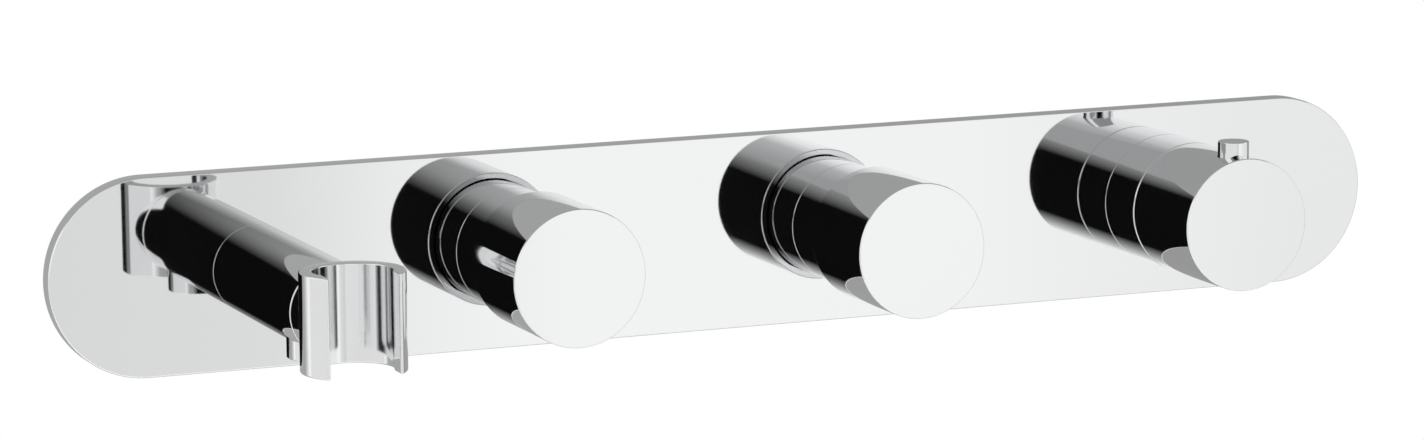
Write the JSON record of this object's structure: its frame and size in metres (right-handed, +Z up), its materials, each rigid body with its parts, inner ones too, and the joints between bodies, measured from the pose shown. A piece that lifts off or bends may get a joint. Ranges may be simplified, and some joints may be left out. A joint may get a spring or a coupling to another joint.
{
  "type": "thermostatic shower valve",
  "caption": "Wall-recessed thermostatic shower valve with a long rounded cover plate, round handles, a safety button and a swivelling hand-shower holder with hose outlet.",
  "frame": {"origin": "centre of the cover plate's back rim, on the finished wall", "axes": "+X to the right along the plate seen from the front, +Y into the wall, +Z up"},
  "size_m": [0.48, 0.2103, 0.104],
  "materials": {
    "polished_chrome": "polished",
    "brass": "machined",
    "steel": "satin",
    "rubber": "matte",
    "dark_plastic": "moulded",
    "light_plastic": "moulded",
    "ceramic": "polished"
  },
  "bodies": {
    "valve": {"cover_plate": "polished_chrome", "plate_seal": "rubber", "holder_arm": "polished_chrome", "hose_outlet_bush": "polished_chrome", "swivel_lock_screw": "steel", "swivel_washer": "light_plastic", "left_neck_sleeve": "polished_chrome", "middle_neck_sleeve": "polished_chrome", "thermostat_sleeve": "polished_chrome", "neck_sleeve_nuts": "brass", "thermostat_sleeve_nut": "brass", "left_headwork": "brass", "middle_headwork": "brass", "fixed_ceramic_discs": "ceramic", "seat_seals": "rubber", "left_valve_block": "brass", "middle_valve_block": "brass", "arm_port_block": "brass", "thermostat_block": "brass", "connecting_pipes": "brass", "pipe_seals": "rubber", "arm_nipple": "brass", "nipple_seals": "rubber", "cartridge_body": "brass", "cartridge_seals": "rubber", "cartridge_retaining_ring": "brass", "return_spring": "steel", "spring_seat": "dark_plastic", "stop_ring": "light_plastic", "hot_check_spring": "steel", "cold_check_spring": "steel", "check_valve_bodies": "dark_plastic", "inlet_strainers": "steel", "wall_bracket": "steel", "bracket_screws": "steel"},
    "left_control": {"left_handle": "polished_chrome", "left_handle_insert": "dark_plastic", "left_handle_screw": "steel", "left_spindle": "brass", "left_spindle_seal": "rubber", "left_turning_disc": "ceramic"},
    "middle_control": {"middle_handle": "polished_chrome", "middle_handle_insert": "dark_plastic", "middle_handle_screw": "steel", "middle_spindle": "brass", "middle_spindle_seal": "rubber", "middle_turning_disc": "ceramic"},
    "thermostat_control": {"thermostat_handle": "polished_chrome", "thermostat_handle_insert": "dark_plastic", "thermostat_handle_screw": "steel", "temperature_spindle": "brass", "temperature_spindle_seal": "rubber", "safety_button_spring": "steel"},
    "button": {"safety_button": "polished_chrome"},
    "regulator": {"wax_element": "brass", "regulating_piston": "dark_plastic"},
    "hot_poppet": {"hot_check_poppet": "dark_plastic"},
    "cold_poppet": {"cold_check_poppet": "dark_plastic"},
    "holder": {"hand_shower_holder": "polished_chrome", "swivel_friction_ring": "rubber"}
  },
  "joints": [
    {"name": "left_handle_turn", "type": "hinge", "parent": "valve", "child": "left_control", "pos_m": [-0.0805, 0, 0], "axis": [0, -1, 0], "range_deg": [0, 90]},
    {"name": "middle_handle_turn", "type": "hinge", "parent": "valve", "child": "middle_control", "pos_m": [0.04075, 0, 0], "axis": [0, -1, 0], "range_deg": [0, 90]},
    {"name": "thermostat_turn", "type": "hinge", "parent": "valve", "child": "thermostat_control", "pos_m": [0.162, 0, 0], "axis": [0, -1, 0], "range_deg": [-130, 80]},
    {"name": "safety_button_press", "type": "slide", "parent": "thermostat_control", "child": "button", "axis": [0, 0, -1], "range_m": [0, 0.0022], "stiffness_N_per_m": 800, "springref_m": -0.004, "deforming": ["safety_button_spring"]},
    {"name": "regulator_slide", "type": "slide", "parent": "valve", "child": "regulator", "axis": [0, -1, 0], "range_m": [-0.0014, 0.0009]},
    {"name": "hot_poppet_lift", "type": "slide", "parent": "valve", "child": "hot_poppet", "axis": [0, 0, 1], "range_m": [0, 0.003], "stiffness_N_per_m": 60, "springref_m": -0.003, "deforming": ["hot_check_spring"]},
    {"name": "cold_poppet_lift", "type": "slide", "parent": "valve", "child": "cold_poppet", "axis": [0, 0, 1], "range_m": [0, 0.003], "stiffness_N_per_m": 60, "springref_m": -0.003, "deforming": ["cold_check_spring"]},
    {"name": "holder_swivel", "type": "hinge", "parent": "valve", "child": "holder", "pos_m": [-0.17, -0.09, 0], "axis": [0, -1, 0], "range_deg": [-20, 20]}
  ],
  "couplings": [
    {"joint": "regulator_slide", "follows": "thermostat_turn", "m_per_rad": 0.000573}
  ]
}
